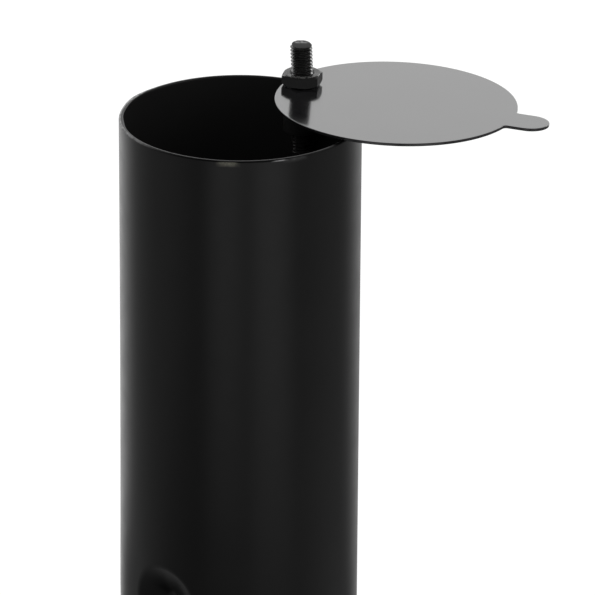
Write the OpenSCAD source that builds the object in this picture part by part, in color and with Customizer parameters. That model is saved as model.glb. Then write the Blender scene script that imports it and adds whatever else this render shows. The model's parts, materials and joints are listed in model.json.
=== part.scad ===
// Chimney of a barbecue: a straight flue tube with a flat damper lid that swings on an upright stud.
// Lengths are in millimetres and angles in degrees. +Z is up and -Y faces the viewer of the photograph.
// The origin is the centre of the base, on the underside of its gasket and on the axis of the tube.
// Directions in the plan are angles from +X, counterclockwise seen from above.

/* [Flue tube] */
// Outside diameter of the flue tube
tube_d = 65; // [60:1:85]
// Thickness of the tube's sheet
tube_wall = 1.2; // [1:0.1:2]
// Length of the tube from its lower end to its rim
tube_len = 167; // [110:1:240]

/* [Stop dimples] */
// Diameter of the punch that presses a dimple
dimple_d = 21; // [16:0.2:25]
// How far the floor of a dimple lies inside the tube's outside
dimple_depth = 4.6; // [3:0.1:5.5]
// Radius of the punch's nose
dimple_nose = 4.2; // [2:0.1:5.5]
// Direction of the dimple that the photograph shows
dimple_dir = 231; // [200:1:260]
// Number of dimples, evenly spread round the tube
dimple_count = 2; // [1:1:3]

/* [Damper lid] */
// How much larger than the tube the lid's disc is in radius
lid_lip = 0.2; // [0:0.1:3]
// How far the closed lid's centre lies past the axis of the tube, seen from the stud
lid_shift = 0.35; // [-1:0.05:1]
// Thickness of the lid's sheet
lid_t = 0.8; // [0.6:0.1:1.5]
// Width of the thumb tab
tab_w = 10.6; // [8:0.2:16]
// How far the thumb tab stands out beyond the lid's edge
tab_out = 10.2; // [8:0.2:20]
// Turn of the thumb tab away from the line through the stud and the lid's centre
tab_turn = 4.9; // [-15:0.1:15]
// Radius of the fillets where the tab leaves the disc
tab_root = 1.1; // [0.5:0.1:3]
// How far the lid is swung open from closed
lid_open = 102; // [0:0.1:180]
// Angle by which the loosely held lid hangs out of level
lid_droop = 2; // [0:0.1:3]
// Direction in which the lid hangs down
droop_dir = 36; // [0:1:60]
// Gap between the lid and the rim where they come closest
lid_gap = 0.15; // [0.1:0.05:0.5]

/* [Pivot] */
// Diameter of the stud's thread
stud_d = 6; // [5:0.5:8]
// Direction of the stud from the axis of the tube
stud_dir = 53.4; // [30:0.1:70]
// How far the stud stands up above the rim
stud_out = 12.9; // [12:0.1:20]
// How far the stud reaches out under the lug
stud_tail = 6.5; // [2:0.5:10]
// Size of the nut across its flats
nut_af = 10; // [8:0.5:13]
// Height of the thin nut
nut_h = 3.2; // [2.5:0.1:5]
// Turn of the nut's first corner from +X
nut_turn = 16; // [0:0.1:60]
// Metal of the lug on each side of the thread
lug_wall = 2; // [1.5:0.1:3]
// Metal of the lug between the thread and the tube
lug_back = 0.7; // [0.3:0.05:3]
// Height of the lug
lug_h = 12; // [9:1:30]
// Leg of the welds beside the lug
bead_leg = 1.8; // [1:0.1:2.5]
// How far those welds stay back from the lug's ends
bead_end = 1; // [0.5:0.5:3]

/* [Base] */
// Distance from the centre of a bolt hole to the flange's edges
base_edge = 9.5; // [8:0.5:16]
// Thickness of the base flange
base_t = 2.5; // [2:0.5:5]
// Distance between the centres of neighbouring bolt holes
bolt_pitch = 70; // [66:1:95]
// Diameter of the bolt holes
bolt_hole_d = 6.6; // [5.5:0.1:9]
// Thickness of the fibre gasket
gasket_t = 2; // [1:0.5:4]
// How far the gasket stays back from the flange's edge
gasket_inset = 1; // [0.5:0.5:3]

/* [Spigot collar] */
// Height of the collar that the tube slides over
collar_h = 22; // [16:1:32]
// Thickness of the collar's sheet
collar_wall = 1.6; // [1.2:0.1:3]
// Leg of the weld between the collar and the flange
weld_leg = 2; // [1.5:0.1:3]

/* [Collar screws] */
// Outside diameter of a sheet screw's thread
screw_d = 4.2; // [3.5:0.1:5]
// Length of a sheet screw under its head
screw_len = 9.5; // [8:0.5:16]
// Size of a screw's hexagon across its flats
screw_af = 7; // [6:0.5:8]
// Height of a screw's hexagon
screw_hex_h = 3; // [2:0.1:4]
// Diameter of the collar under a screw's hexagon
screw_flange_d = 8.8; // [8:0.1:10]
// Thickness of the collar under a screw's hexagon
screw_flange_t = 1; // [0.8:0.1:1.5]
// Height of the screws above the base flange
screw_z = 10; // [7:0.5:14]
// Number of screws, evenly spread round the tube
screw_count = 2; // [2:1:4]

/* [Clearances] */
// Gap round the collar inside the tube
collar_gap = 0.3; // [0.2:0.05:0.6]
// Gap between the dimples and the collar's edge
stop_gap = 0.3; // [0.2:0.05:0.6]
// Gap round the stud in the lid's hole
pivot_gap = 0.08; // [0.05:0.01:0.1]
// Gap round a thread in the piece that it is screwed into
thread_gap = 0.05; // [0.02:0.01:0.1]
// Gap between pieces that lie against each other on a curve
seat_gap = 0.05; // [0.02:0.01:0.1]
// Gap between the lid and the nut where they come closest
nut_gap = 0.1; // [0.05:0.05:0.5]

/* [Hidden] */
$fn = 96;

// How far a cutting shape runs past the face that it cuts
over = 1;
// Share of a nut's height that its chamfer takes at a corner
nut_chamfer_share = 0.2;
// Share of a thread's radius that the chamfer at its end takes
thread_chamfer_share = 0.18;
// Share of a sheet screw's length that its point takes
screw_point_share = 0.35;
// Share of the lug's wall that the chamfer at its foot takes
lug_chamfer_share = 0.5;

tube_r = tube_d / 2;
bore_r = tube_r - tube_wall;
tube_z = gasket_t + base_t;
rim_z = tube_z + tube_len;

collar_r = bore_r - collar_gap;
collar_bore_r = collar_r - collar_wall;
smoke_hole_r = collar_bore_r - weld_leg;
base_w = bolt_pitch + 2 * base_edge;

dimple_r = dimple_d / 2;
bulge_r = dimple_r + tube_wall;
dimple_z = tube_z + collar_h + stop_gap + bulge_r;

stud_r = stud_d / 2;
pivot_r = bore_r - seat_gap - lug_back - thread_gap - stud_r;
stud_x = pivot_r * cos(stud_dir);
stud_y = pivot_r * sin(stud_dir);
lug_r = stud_r + thread_gap + lug_wall;

lid_r = tube_r + lid_lip;
lid_arm = pivot_r + lid_shift;
lid_dir = stud_dir + 180 + lid_open;
droop_reach = tube_r - pivot_r * cos(stud_dir - droop_dir);
lid_z = rim_z + lid_gap + tan(lid_droop) * droop_reach;
nut_corner_r = nut_af / 2 / cos(30);
nut_z = lid_z + lid_t / cos(lid_droop) + tan(lid_droop) * nut_corner_r + nut_gap;

screw_r = screw_d / 2;
screw_dir = dimple_dir + 180 / dimple_count;

// Round bar of the tube's outside, which other shapes are cut back to.
module tube_bar() {
    translate([0, 0, tube_z])
        cylinder(r = tube_r, h = tube_len);
}

// Half outline of the punch that presses a dimple, measured from the tube's axis; it grows on all sides.
module punch_outline(grow) {
    r = dimple_r + grow;
    nose = dimple_nose + grow;
    floor_y = tube_r - dimple_depth - grow;
    top_y = tube_r + over;
    translate([r - nose, floor_y + nose])
        circle(nose);
    translate([0, floor_y])
        square([r - nose, top_y - floor_y]);
    translate([0, floor_y + nose])
        square([r, top_y - floor_y - nose]);
}

// The punch in every place where a dimple is pressed.
module punches(grow) {
    for (i = [0 : dimple_count - 1])
        translate([0, 0, dimple_z])
            rotate([0, 0, dimple_dir + i * 360 / dimple_count])
                rotate([0, 90, 0])
                    rotate_extrude()
                        punch_outline(grow);
}

// A radial hole for every collar screw, from inside the collar to outside the tube.
module screw_holes(r) {
    for (i = [0 : screw_count - 1])
        translate([0, 0, tube_z + screw_z])
            rotate([0, 0, screw_dir + i * 360 / screw_count])
                rotate([0, 90, 0])
                    translate([0, 0, collar_bore_r - over])
                        cylinder(r = r, h = tube_r - collar_bore_r + 2 * over);
}

// The flue: the wall keeps its thickness where the dimples are pressed in.
module flue_tube() {
    color([0.05, 0.05, 0.05])
        difference() {
            tube_bar();
            difference() {
                translate([0, 0, tube_z - over])
                    cylinder(r = bore_r, h = tube_len + 2 * over);
                punches(tube_wall);
            }
            punches(0);
            screw_holes(screw_r + thread_gap);
        }
}

// Turns a piece that lies level so that it hangs down as the loose lid does.
module droop() {
    rotate([0, 0, droop_dir])
        rotate([0, lid_droop, 0])
            rotate([0, 0, -droop_dir])
                children();
}

// Fillets on both sides of the tab, tangent to the tab's side and to the disc.
module tab_fillets() {
    side_y = tab_w / 2 + tab_root;
    side_x = sqrt(pow(lid_r + tab_root, 2) - pow(side_y, 2));
    foot_x = side_x * lid_r / (lid_r + tab_root);
    for (side = [-1, 1])
        difference() {
            translate([foot_x, side > 0 ? 0 : -side_y])
                square([side_x - foot_x, side_y]);
            translate([side_x, side * side_y])
                circle(tab_root);
        }
}

// Outline of the lid about its own centre, with the tab along +X.
module lid_outline() {
    circle(lid_r);
    translate([0, -tab_w / 2])
        square([lid_r + tab_out - tab_w / 2, tab_w]);
    translate([lid_r + tab_out - tab_w / 2, 0])
        circle(tab_w / 2);
    tab_fillets();
}

// The lid hangs on the stud by a plain hole and lies over the rim.
module damper_lid() {
    color([0.08, 0.08, 0.09])
        translate([stud_x, stud_y, lid_z])
            droop()
                rotate([0, 0, lid_dir])
                    difference() {
                        linear_extrude(lid_t)
                            translate([lid_arm, 0])
                                rotate(tab_turn)
                                    lid_outline();
                        translate([0, 0, -over])
                            cylinder(r = stud_r + pivot_gap, h = lid_t + 2 * over);
                    }
}

// Plan of the lug: round on the side of the smoke and cut back to the bore of the tube.
module lug_outline() {
    intersection() {
        circle(bore_r - seat_gap);
        rotate(stud_dir) {
            translate([pivot_r, 0])
                circle(lug_r);
            translate([pivot_r, -lug_r])
                square([tube_r - pivot_r, 2 * lug_r]);
        }
    }
}

// The tapped lug inside the rim, with a chamfer round the nose at its foot.
module pivot_lug() {
    chamfer = lug_wall * lug_chamfer_share;
    color([0.05, 0.05, 0.05])
        difference() {
            translate([0, 0, rim_z - lug_h])
                linear_extrude(lug_h)
                    lug_outline();
            translate([stud_x, stud_y, rim_z - lug_h - over])
                cylinder(r = stud_r + thread_gap, h = lug_h + 2 * over);
            translate([stud_x, stud_y, rim_z - lug_h])
                rotate([0, 0, stud_dir + 90])
                    rotate_extrude(angle = 180)
                        polygon([
                            [lug_r - chamfer, 0], [lug_r, chamfer],
                            [lug_r + over, chamfer], [lug_r + over, -over], [lug_r - chamfer, -over]
                        ]);
        }
}

// Where the bore of the tube lies beside the line from its axis through the stud.
function bore_x(y) = sqrt(pow(bore_r - seat_gap, 2) - pow(y, 2));

// Fillet welds down both sides of the lug, in the corner between it and the tube.
module lug_weld() {
    near_y = lug_r + seat_gap;
    far_y = near_y + bead_leg;
    color([0.06, 0.06, 0.06])
        translate([0, 0, rim_z - lug_h + bead_end])
            rotate([0, 0, stud_dir])
                linear_extrude(lug_h - 2 * bead_end)
                    for (side = [-1, 1])
                        polygon([
                            [bore_x(near_y), side * near_y],
                            [bore_x(near_y) - bead_leg, side * near_y],
                            [bore_x(far_y), side * far_y]
                        ]);
}

// The stud, a length of threaded rod with chamfered ends.
module pivot_stud() {
    chamfer = stud_r * thread_chamfer_share;
    low_z = rim_z - lug_h - stud_tail;
    high_z = rim_z + stud_out;
    color([0.03, 0.03, 0.03])
        translate([stud_x, stud_y, 0])
            rotate_extrude()
                polygon([
                    [0, low_z], [stud_r - chamfer, low_z], [stud_r, low_z + chamfer],
                    [stud_r, high_z - chamfer], [stud_r - chamfer, high_z], [0, high_z]
                ]);
}

// A hexagon prism whose corners are chamfered at both ends.
module hex_body(corner_r, h) {
    chamfer_z = h * nut_chamfer_share;
    chamfer_r = corner_r * (1 - cos(30));
    intersection() {
        cylinder(r = corner_r, h = h, $fn = 6);
        rotate_extrude()
            polygon([
                [0, 0], [corner_r - chamfer_r, 0], [corner_r, chamfer_z],
                [corner_r, h - chamfer_z], [corner_r - chamfer_r, h], [0, h]
            ]);
    }
}

// The thin nut that keeps the lid on the stud, countersunk at both ends of its thread.
module lid_nut() {
    sink = stud_r * thread_chamfer_share;
    hole_r = stud_r + thread_gap;
    color([0.03, 0.03, 0.03])
        translate([stud_x, stud_y, nut_z])
            rotate([0, 0, nut_turn])
                difference() {
                    hex_body(nut_corner_r, nut_h);
                    rotate_extrude()
                        polygon([
                            [0, -over], [hole_r + sink + over, -over], [hole_r, sink],
                            [hole_r, nut_h - sink], [hole_r + sink + over, nut_h + over], [0, nut_h + over]
                        ]);
                }
}

// Outline of a square plate with round corners.
module plate_outline(w, corner_r) {
    inner = w / 2 - corner_r;
    square([w, 2 * inner], center = true);
    square([2 * inner, w], center = true);
    for (x = [-inner, inner], y = [-inner, inner])
        translate([x, y])
            circle(corner_r);
}

// The four bolt holes of the base, at the corners of a square.
module bolt_holes() {
    for (x = [-bolt_pitch / 2, bolt_pitch / 2], y = [-bolt_pitch / 2, bolt_pitch / 2])
        translate([x, y])
            circle(d = bolt_hole_d);
}

// The base flange, whose corners are concentric with its bolt holes.
module base_flange() {
    color([0.05, 0.05, 0.05])
        translate([0, 0, gasket_t])
            linear_extrude(base_t)
                difference() {
                    plate_outline(base_w, base_edge);
                    circle(smoke_hole_r);
                    bolt_holes();
                }
}

// The gasket under the flange.
module flange_gasket() {
    color([0.72, 0.7, 0.64])
        linear_extrude(gasket_t)
            difference() {
                plate_outline(base_w - 2 * gasket_inset, base_edge - gasket_inset);
                circle(smoke_hole_r);
                bolt_holes();
            }
}

// The collar that the tube slides over, with its upper inner edge chamfered.
module spigot_collar() {
    chamfer = collar_wall / 2;
    color([0.05, 0.05, 0.05])
        difference() {
            translate([0, 0, tube_z])
                rotate_extrude()
                    polygon([
                        [collar_bore_r, 0], [collar_r, 0], [collar_r, collar_h - chamfer],
                        [collar_r - chamfer, collar_h], [collar_bore_r, collar_h]
                    ]);
            screw_holes(screw_r + thread_gap);
        }
}

// Fillet weld all round, between the collar's inside and the ledge of the flange.
module collar_weld() {
    inner_r = smoke_hole_r + seat_gap;
    outer_r = collar_bore_r - seat_gap;
    color([0.06, 0.06, 0.06])
        translate([0, 0, tube_z])
            rotate_extrude()
                polygon([[inner_r, 0], [outer_r, 0], [outer_r, outer_r - inner_r]]);
}

// One sheet screw along +Z, with its seat at the origin and its point below.
module sheet_screw() {
    point = screw_len * screw_point_share;
    rotate_extrude()
        polygon([
            [0, -screw_len], [screw_r, point - screw_len], [screw_r, 0],
            [screw_flange_d / 2, 0], [screw_flange_d / 2, screw_flange_t], [0, screw_flange_t]
        ]);
    translate([0, 0, screw_flange_t])
        hex_body(screw_af / 2 / cos(30), screw_hex_h);
}

// The screws that hold the tube to the collar.
module collar_screws() {
    color([0.2, 0.2, 0.21])
        for (i = [0 : screw_count - 1])
            translate([0, 0, tube_z + screw_z])
                rotate([0, 0, screw_dir + i * 360 / screw_count])
                    rotate([0, 90, 0])
                        translate([0, 0, tube_r + seat_gap])
                            sheet_screw();
}

flue_tube();
damper_lid();
pivot_lug();
lug_weld();
pivot_stud();
lid_nut();
base_flange();
flange_gasket();
spigot_collar();
collar_weld();
collar_screws();
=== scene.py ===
"""Looks of a barbecue's chimney: fine forms, finishes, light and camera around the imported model.

Lengths are in metres. Angles are in radians, or in degrees where a name ends in _DEG. A name that ends in
_GUARD is the width of the flat ring just inside a plate's eased edge.
"""
import json
import math

import bmesh
import bpy
import numpy as np
from mathutils import Matrix, Vector
from mathutils.geometry import tessellate_polygon


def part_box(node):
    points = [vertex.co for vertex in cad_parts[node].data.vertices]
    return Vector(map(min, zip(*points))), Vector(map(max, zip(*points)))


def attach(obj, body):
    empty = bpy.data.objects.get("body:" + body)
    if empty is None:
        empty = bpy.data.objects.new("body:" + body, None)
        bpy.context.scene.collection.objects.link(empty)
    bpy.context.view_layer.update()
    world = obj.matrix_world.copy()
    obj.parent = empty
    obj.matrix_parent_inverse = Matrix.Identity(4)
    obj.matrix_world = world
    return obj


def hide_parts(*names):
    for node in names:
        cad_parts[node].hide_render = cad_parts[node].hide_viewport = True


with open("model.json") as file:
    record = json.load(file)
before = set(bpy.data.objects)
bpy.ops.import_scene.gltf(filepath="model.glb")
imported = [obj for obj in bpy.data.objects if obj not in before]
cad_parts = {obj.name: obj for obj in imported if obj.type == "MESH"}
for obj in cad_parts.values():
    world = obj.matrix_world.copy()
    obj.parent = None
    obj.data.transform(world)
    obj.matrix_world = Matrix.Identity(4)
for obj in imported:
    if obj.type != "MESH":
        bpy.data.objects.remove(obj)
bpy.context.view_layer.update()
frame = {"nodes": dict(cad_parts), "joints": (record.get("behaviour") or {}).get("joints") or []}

MM = 0.001
FULL_TURN = 2 * math.pi
# Points closer than this become one
MERGE = 0.0005 * MM
# Clearance between pieces that sit on each other
SEAT_GAP = 0.05 * MM
# Steps round a small and a large hole
HOLE_STEPS = 48
LARGE_HOLE_STEPS = 144
# How far large faces lead the shading at a corner; 50 is neutral
FLAT_WEIGHT = 80
# Least cosine of half a corner's turn that an inset follows in full
SHARPEST = 0.5

# Flue tube
TUBE_LOW, TUBE_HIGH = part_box("flue_tube")
TUBE_R = TUBE_HIGH.x
TUBE_WALL = 1.2 * MM
BORE_R = TUBE_R - TUBE_WALL
TUBE_Z = TUBE_LOW.z
RIM_Z = TUBE_HIGH.z
RIM_ROUND = 0.47 * MM
# Its grid: columns all round, greatest row height, rings round each window, and steps round each edge
TUBE_COLUMNS = 192
TUBE_STEP = 2.8 * MM
WINDOW_RINGS = 5
ROUND_STEPS = 4

# Stop dimples: a rounded nose, a cone and a rounded lip, slightly taller than wide
COLLAR_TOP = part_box("spigot_collar")[1].z
STOP_GAP = 0.3 * MM
DIMPLE_R = 10.5 * MM
DIMPLE_DEPTH = 4.6 * MM
DIMPLE_NOSE = 4.0 * MM
DIMPLE_LIP = 3.2 * MM
DIMPLE_SLOPE_DEG = 29.0
DIMPLE_EDGE_R = 11.1 * MM
DIMPLE_TALL = 1.12
DIMPLE_DIRS_DEG = (231.0, 51.0)
DIMPLE_Z = COLLAR_TOP + STOP_GAP + DIMPLE_R + TUBE_WALL
DIMPLE_COLUMNS = 32
DIMPLE_HALF_Z = 15.4 * MM
# Rings over its middle, each rounding and the cone; the innermost ring's radius and the outermost's width
DIMPLE_FLOOR_RINGS = 7
DIMPLE_ROUND_RINGS = 18
DIMPLE_CONE_RINGS = 8
DIMPLE_FIRST_R = 0.4 * MM
DIMPLE_MARGIN = 0.9 * MM
# Trials that find the swollen wall's radius
WALL_TRIALS = 5
# Step over which the wall's slope is measured
SLOPE_STEP = 0.01 * MM

# Soft bulges of the wall: how far out, direction in degrees, height, half width in degrees, half height
SWELLING = (0.5 * MM, 196.0, DIMPLE_Z - 3.7 * MM, 13.0, 20 * MM)
OVAL = (0.34 * MM, 181.0, DIMPLE_Z, 20.0, 62 * MM)
RIM_FLARE = (0.45 * MM, 152.0, RIM_Z, 11.0, 5 * MM)
# Burr on the rim's inside, given the same way, but into the bore
BURR = (0.25 * MM, 186.0, RIM_Z, 7.0, 1.5 * MM)

# Collar screws; the ridge of their thread is given in shares of its pitch
SCREW_LOW, SCREW_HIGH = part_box("collar_screws")
SCREW_Z = (SCREW_LOW.z + SCREW_HIGH.z) / 2
SCREW_DIRS_DEG = (321.0, 141.0)
SCREW_R = 2.1 * MM
SCREW_CORE_R = 1.55 * MM
SCREW_PITCH = 1.4 * MM
SCREW_LEN = 9.5 * MM
SCREW_POINT = 3.3 * MM
SCREW_TIP_R = 0.05 * MM
SCREW_RIDGE_SHARE = 0.28
SCREW_AF = 7.0 * MM
SCREW_HEX_H = 3.0 * MM
SCREW_HEX_EDGE = 0.06 * MM
SCREW_CHAMFER_DEG = 30
SCREW_FACE_R = SCREW_AF / 2 * 0.94
SCREW_DISH_R = SCREW_AF / 2 * 0.7
SCREW_DISH = 0.35 * MM
SCREW_DISH_FLOOR_SHARE = 0.8
SCREW_FLANGE_R = 4.4 * MM
SCREW_FLANGE_T = 1.0 * MM
SCREW_FLANGE_ROUND = 0.25 * MM
SCREW_FLANGE_TOP_R = SCREW_AF / 2 * 1.17
SCREW_COLUMNS = 72
SCREW_ROWS = 130
SCREW_HOLE_R = 2.15 * MM
SCREW_HOLE_MARGIN = 0.4 * MM
SCREW_HOLE_COLUMNS = 6
SCREW_HOLE_HALF_Z = 4.2 * MM

# Pivot
STUD_LOW, STUD_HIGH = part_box("pivot_stud")
STUD = (STUD_LOW + STUD_HIGH) / 2
STUD_R = (STUD_HIGH.x - STUD_LOW.x) / 2
STUD_DIR = math.atan2(STUD.y, STUD.x)
STUD_REACH = math.hypot(STUD.x, STUD.y)
STUD_PITCH = 1.0 * MM
STUD_CHAMFER = 0.35 * MM
STUD_COLUMNS = 64
STUD_ROWS_A_PITCH = 20
# The worn upper end: its dome, the dome's rings as shares of the end's radius, and its slant
STUD_DOME = 0.12 * MM
STUD_DOME_SHARES = (0.9, 0.78, 0.64, 0.5, 0.34, 0.16)
STUD_SLANT = 0.09
STUD_SLANT_FROM = 1.0 * MM
STUD_SLANT_ROOM = 0.12 * MM
# Bend to the left above the nut
STUD_LEAN_DEG = 2.2
# A 60 degree thread, in shares of its pitch: half the crest's width, a flank's width, and the depth
CREST_SHARE = 1 / 16
FLANK_SHARE = 5 / 16
DEPTH_SHARE = 0.54
THREAD_GAP = 0.04 * MM
NUT_LOW, NUT_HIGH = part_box("lid_nut")
NUT_AF = 10.0 * MM
NUT_TURN_DEG = 16.0
NUT_FACE_SHARE = 0.96
NUT_CHAMFER_DEG = 32
NUT_SINK_R = STUD_R + 0.45 * MM
NUT_EDGE = 0.09 * MM
NUT_COLUMNS = 96
NUT_BORE_ROWS = 65
LUG_LOW, LUG_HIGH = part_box("pivot_lug")
LUG_WALL = 2.0 * MM
LUG_R = STUD_R + SEAT_GAP + LUG_WALL
LUG_EDGE = 0.35 * MM
LUG_GUARD = 0.15 * MM
LUG_NOSE_STEPS = 32
LUG_BACK_STEPS = 12

# Weld beads
BEAD_LEG = 1.8 * MM
BEAD_END = 1.0 * MM
BEAD_TAPER = 0.8 * MM
BEAD_TIP_SHARE = 0.35
BEAD_ROWS = 120
BEAD_STEPS = 10
RIPPLE_PITCH = 0.9 * MM
RIPPLE_SHARE = 0.1
RIPPLE_LAG = 0.35
RING_BEAD_COLUMNS = 720

# Damper lid
JOINT = frame["joints"][0]
LID_AXIS = Vector(JOINT["axis"]).normalized()
LID_FOOT = Vector(JOINT["pos_m"])
LID_R = TUBE_R + 0.2 * MM
LID_ARM = STUD_REACH + 0.35 * MM
LID_T = 0.8 * MM
LID_EDGE = 0.15 * MM
LID_GUARD = 0.5 * MM
LID_DIR_DEG = 335.4
TAB_W = 10.6 * MM
TAB_OUT = 10.2 * MM
TAB_TURN_DEG = 4.9
TAB_ROOT = 1.1 * MM
LID_HOLE_R = STUD_R + 0.08 * MM
# Steps round the lid's disc, its hole, the tab's roots and the tab's tip
LID_STEPS = 200
LID_HOLE_STEPS = 64
ROOT_STEPS = 8
TIP_STEPS = 32

# Base
FLANGE_LOW, FLANGE_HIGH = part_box("base_flange")
GASKET_LOW, GASKET_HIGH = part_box("flange_gasket")
BOLT_HALF_PITCH = 35.0 * MM
BOLT_HOLE_R = 3.3 * MM
SMOKE_HOLE_R = 27.4 * MM
FLANGE_EDGE = 0.35 * MM
GASKET_EDGE = 0.3 * MM
BASE_GUARD = 0.6 * MM
CORNER_STEPS = 12
COLLAR_BORE_R = 29.4 * MM

# Camera, fitted to the photograph's tube, rim and lid
LENS = 322.63
SENSOR = 36.0
CAMERA_PITCH_DEG = 22.963
CAMERA_ROLL_DEG = -0.352
CAMERA_REACH = 1443.8 * MM
CAMERA_AIM = Vector((15.53 * MM, 0, RIM_Z - 52.19 * MM))
FAR_CLIP = 100.0

# Finishes
# Lighter grey painted on walls that face the tube's axis, as light inside the bore
BORE_PAINTED_LIGHT = 0.011
# How far a wall has to face the axis to be inside in full; 1 is straight at it
INSIDE_TURN = 0.3
FLUE_GLOSS = 0.2
# Gloss of the lid's cut edge, as a share of its faces' gloss
CUT_EDGE_SHARE = 0.4
# Black oxide on the stud and on the nut, the lighter grey painted at their tops as a highlight along the
# back of the stud's end and a sheen on the nut's top, and the roughness that the stud's end adds
STUD_ROUGH = 0.14
STUD_GLOSS = 0.5
STUD_END_HIGHLIGHT = (0.3, 0.3, 0.3)
STUD_HIGHLIGHT_Z = STUD_HIGH.z - 0.04 * MM
STUD_END_ROUGH = 0.45
# Height over which the painted highlight fades in, and how far under it the rougher end starts
MARK_FADE = 0.1 * MM
END_DROP = 0.5 * MM
NUT_ROUGH = 0.2
NUT_GLOSS = 0.3
NUT_TOP_SHEEN = (0.09, 0.09, 0.088)
# Gloss of the nut's upright sides, and the lighter grey painted on them in place of their reflection
NUT_SIDES = (0.02, 0.022)
# Lighter marks on the rim's edge: direction, half width, how far down they reach, and colour. The first
# three are lighter spots just under the rim in front; the last, wide round the back and left, is a painted
# highlight along the top of the rim's rounding
RIM_MARKS_AND_HIGHLIGHT = (
    (265.0, 6.0, 1.7 * MM, (0.14, 0.137, 0.11)),
    (289.5, 5.0, 0.6 * MM, (0.55, 0.55, 0.55)),
    (297.0, 7.0, 1.4 * MM, (0.05, 0.05, 0.05)),
    (150.0, 75.0, 0.5 * MM, (0.36, 0.36, 0.36)),
)
# Depths under the tube's outside at which the marks start and are full, and how far down they stay full
RIM_MARK_DEPTHS = (0.65 * MM, 0.45 * MM)
RIM_MARK_FULL = 0.4

# Studio: even light, and how bright gloss sees the ceiling and the room behind the camera
AMBIENT = 0.8
CEILING = 0.12
HORIZON_DEG = 34.0
CEILING_DEG = 52.0
CAMERA_SIDE = 0.15
# Y of a direction from which on the room behind the object is at its full brightness
FULL_ROOM_Y = 0.45
FLOOR_R = 6.0
FLOOR_SIDES = 64
FLOOR_GREY = 0.3
FLOOR_GLOW = 0.78
# Lamps: name, azimuth and elevation in degrees, distance, width, height and glow
SOFTBOXES = (
    ("back_box", 0, 24, 1.6, 1.9, 0.95, 0.1),
    ("left_box", -70, 35, 1.5, 0.9, 0.7, 1.2),
    ("right_box", 110, 35, 1.5, 0.9, 0.7, 1.2),
    ("right_glint", 33, 29, 1.5, 0.26, 0.3, 6.5),
    ("left_glint", -33, 29, 1.5, 0.26, 0.3, 2.275),
)
LAMP_AIM = Vector((0, 0, 0.12))
# Gloss sees no card nearer than the first distance, and each in full from the second on
SHADE_NEAR = 0.037
SHADE_FAR = 0.045
# Distances at which a card has its near and its far brightness
CARD_NEAR = 0.1
CARD_FAR = 0.35
# Cards on the floor, seen in gloss only: azimuth and half width in degrees, near and far brightness
CARDS = (
    (-152, 36, 1.0, 0.92),
    (-98, 36, 0.15, 0.18),
    (-60, 24, 0.0, 0.26),
    (-14, 20, 0.0, 0.87),
    (8, 16, 0.14, 0.22),
    (30, 22, 0.25, 1.0),
    (72, 36, 0.25, 0.21),
    (158, 40, 0.38, 0.4),
)
# Card beside the object's foot: azimuth and half width in degrees, glow, where it fades and where it ends
FOOT_CARD = (-110, 34, 0.62, 0.047, 0.057)


def arc(centre, radius, start_deg, end_deg, steps):
    """Points of an arc in a plane, both ends included."""
    turn = np.radians(np.linspace(start_deg, end_deg, steps + 1))
    return np.stack([centre[0] + radius * np.cos(turn), centre[1] + radius * np.sin(turn)], -1)


def turned(points, angle):
    """Plane points turned about the origin."""
    c, s = math.cos(angle), math.sin(angle)
    return points @ np.array([[c, s], [-s, c]])


def grid_faces(rows, columns, start=0, close_rows=False, skip=None):
    """Quads between the rows of a grid that is closed round its columns; skip leaves cells out."""
    faces = []
    for i in range(rows if close_rows else rows - 1):
        for j in range(columns):
            if skip is not None and skip(i, j):
                continue
            a = start + i * columns + j
            b = start + i * columns + (j + 1) % columns
            up = start + ((i + 1) % rows) * columns
            faces.append((a, b, up + (j + 1) % columns, up + j))
    return faces


class Shell:
    """Gathers the surfaces of one piece."""

    def __init__(self):
        self.points = []
        self.faces = []
        self.count = 0

    def add_points(self, points):
        start = self.count
        flat = np.asarray(points, float).reshape(-1, 3)
        self.points.append(flat)
        self.count += len(flat)
        return start

    def add_grid(self, points, close_rows=False, skip=None):
        """points has the shape rows, columns, 3."""
        rows, columns = points.shape[:2]
        start = self.add_points(points)
        self.faces += grid_faces(rows, columns, start, close_rows, skip)

    def add_cap(self, ring):
        """A flat face over a ring of points."""
        self.add_faces(ring, [range(len(ring))])

    def add_fill(self, loops, z):
        """Triangles between an outline and the holes in it, all at one height."""
        flat = [[Vector((x, y, 0)) for x, y in loop] for loop in loops]
        self.add_faces([(x, y, z) for loop in loops for x, y in loop], tessellate_polygon(flat))

    def add_faces(self, points, faces):
        """Faces that count their points from 0."""
        start = self.add_points(points)
        self.faces += [tuple(start + i for i in face) for face in faces]


def make_piece(name, shell, material, body, slot, *nodes, place=None, sharp_deg=40.0):
    """Turns a shell into a closed, smooth shaded piece that stands for the CAD nodes."""
    mesh = bpy.data.meshes.new(name)
    mesh.from_pydata(np.concatenate(shell.points).tolist(), [], shell.faces)
    bm = bmesh.new()
    bm.from_mesh(mesh)
    bmesh.ops.remove_doubles(bm, verts=bm.verts, dist=MERGE)
    bmesh.ops.dissolve_degenerate(bm, edges=bm.edges, dist=MERGE)
    bmesh.ops.recalc_face_normals(bm, faces=bm.faces)
    bm.to_mesh(mesh)
    bm.free()
    if place is not None:
        mesh.transform(place)
    mesh.shade_smooth()
    mesh.set_sharp_from_angle(angle=math.radians(sharp_deg))
    mesh.materials.append(material)
    piece = bpy.data.objects.new(name, mesh)
    bpy.context.scene.collection.objects.link(piece)
    weigh_normals(piece)
    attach(piece, body)
    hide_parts(*nodes)
    return piece


def weigh_normals(piece):
    """Keeps large flat faces flat beside their rounded edges."""
    weights = piece.modifiers.new("flat faces", "WEIGHTED_NORMAL")
    weights.keep_sharp = True
    weights.weight = FLAT_WEIGHT


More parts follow.
